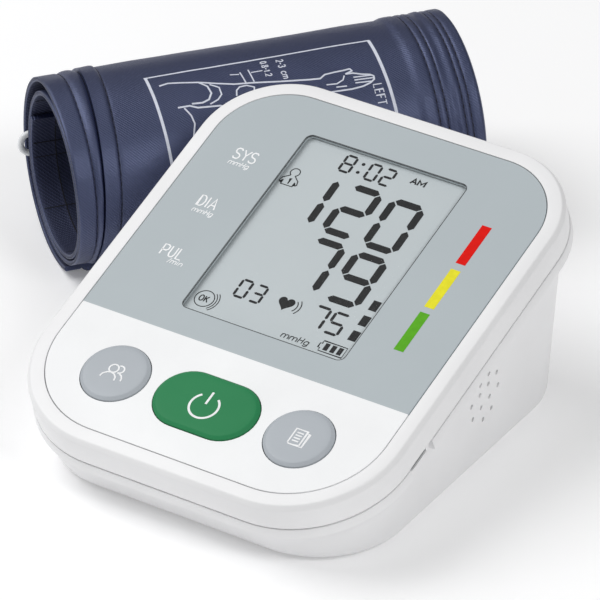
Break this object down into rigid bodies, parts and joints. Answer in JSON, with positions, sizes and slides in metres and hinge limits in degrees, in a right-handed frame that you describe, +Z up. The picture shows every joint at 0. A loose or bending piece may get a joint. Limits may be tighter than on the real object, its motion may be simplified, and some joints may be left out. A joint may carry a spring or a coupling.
{
  "type": "upper arm blood pressure monitor",
  "caption": "Desk unit with a sloping face, LCD window and three push buttons, beside its rolled cloth arm cuff with a wire ring along one edge.",
  "frame": {"origin": "middle of the bottom of the box round the unit and the cuff together, on the table", "axes": "+Z up, +X to the right of a person reading the display, +Y away from that person; the cuff lies at the unit's left and rear with its roll turned 51 degrees from +X"},
  "size_m": [0.2164, 0.25, 0.0762],
  "materials": {
    "white_shell": "satin moulded ABS",
    "face_print": "printed film, white at the front",
    "clear_lens": "clear glossy lens",
    "liquid_crystal": "liquid crystal glass",
    "dark_plastic": "moulded plastic",
    "rubber": "matt rubber",
    "circuit_board": "solder mask over glass epoxy",
    "chip_plastic": "moulded epoxy",
    "steel": "plain steel",
    "gray_button": "satin plastic",
    "green_button": "satin plastic",
    "cell_wrap": "printed film over the cell",
    "pump_plastic": "moulded plastic",
    "foam": "open foam",
    "silicone": "soft silicone",
    "navy_cloth": "woven nylon twill with a sheen",
    "lining_cloth": "loop lining cloth",
    "bladder_film": "thin air-tight film",
    "hook_tape": "hook tape"
  },
  "bodies": {
    "unit": {"upper_housing": "white_shell", "lower_housing": "white_shell", "face_panel": "face_print", "display_window": "clear_lens", "lcd_panel": "liquid_crystal", "lcd_frame": "dark_plastic", "user_switch": "dark_plastic", "power_switch": "dark_plastic", "memory_switch": "dark_plastic", "speaker": "dark_plastic", "pump_crank": "dark_plastic", "air_inlet": "dark_plastic", "lcd_connector": "rubber", "foot_1": "rubber", "foot_2": "rubber", "foot_3": "rubber", "foot_4": "rubber", "main_board": "circuit_board", "controller_chip": "chip_plastic", "pressure_sensor": "chip_plastic", "case_screw_1": "steel", "case_screw_2": "steel", "case_screw_3": "steel", "case_screw_4": "steel", "power_socket": "steel", "battery_spring_1": "steel", "battery_spring_2": "steel", "battery_spring_3": "steel", "battery_spring_4": "steel", "contact_plate_front": "steel", "contact_plate_rear": "steel", "pump_motor": "steel", "exhaust_valve": "steel", "battery_1": "cell_wrap", "battery_2": "cell_wrap", "battery_3": "cell_wrap", "battery_4": "cell_wrap", "pump_head": "pump_plastic", "air_manifold": "pump_plastic", "pump_cradle": "foam", "tube_valve": "silicone", "tube_inlet": "silicone", "tube_sensor": "silicone", "tube_pump": "silicone"},
    "user_key": {"user_button": "gray_button", "user_plunger": "steel"},
    "power_key": {"power_button": "green_button", "power_plunger": "steel"},
    "memory_key": {"memory_button": "gray_button", "memory_plunger": "steel"},
    "battery_cover": {"battery_door": "white_shell"},
    "cuff": {"cuff_ring": "steel", "cuff_air_port": "silicone", "cuff_outer_cloth": "navy_cloth", "cuff_ring_sleeve": "navy_cloth", "cuff_lining": "lining_cloth", "cuff_bladder": "bladder_film", "cuff_hook_patch": "hook_tape"}
  },
  "joints": [
    {"name": "user_press", "type": "slide", "parent": "unit", "child": "user_key", "axis": [0, 0.3165, -0.9486], "range_m": [0, 0.0006], "stiffness_N_per_m": 1500, "springref_m": -0.0003},
    {"name": "power_press", "type": "slide", "parent": "unit", "child": "power_key", "axis": [0, 0.3165, -0.9486], "range_m": [0, 0.0006], "stiffness_N_per_m": 1500, "springref_m": -0.0003},
    {"name": "memory_press", "type": "slide", "parent": "unit", "child": "memory_key", "axis": [0, 0.3165, -0.9486], "range_m": [0, 0.0006], "stiffness_N_per_m": 1500, "springref_m": -0.0003},
    {"name": "battery_cover_hinge", "type": "hinge", "parent": "unit", "child": "battery_cover", "pos_m": [0.04118, -0.05382, 0.0008], "axis": [-1, 0, 0], "range_deg": [0, 95]},
    {"name": "cuff_slide_away", "type": "slide", "parent": "unit", "child": "cuff", "axis": [-0.7771, 0.6293, 0], "range_m": [0, 0.1]}
  ]
}
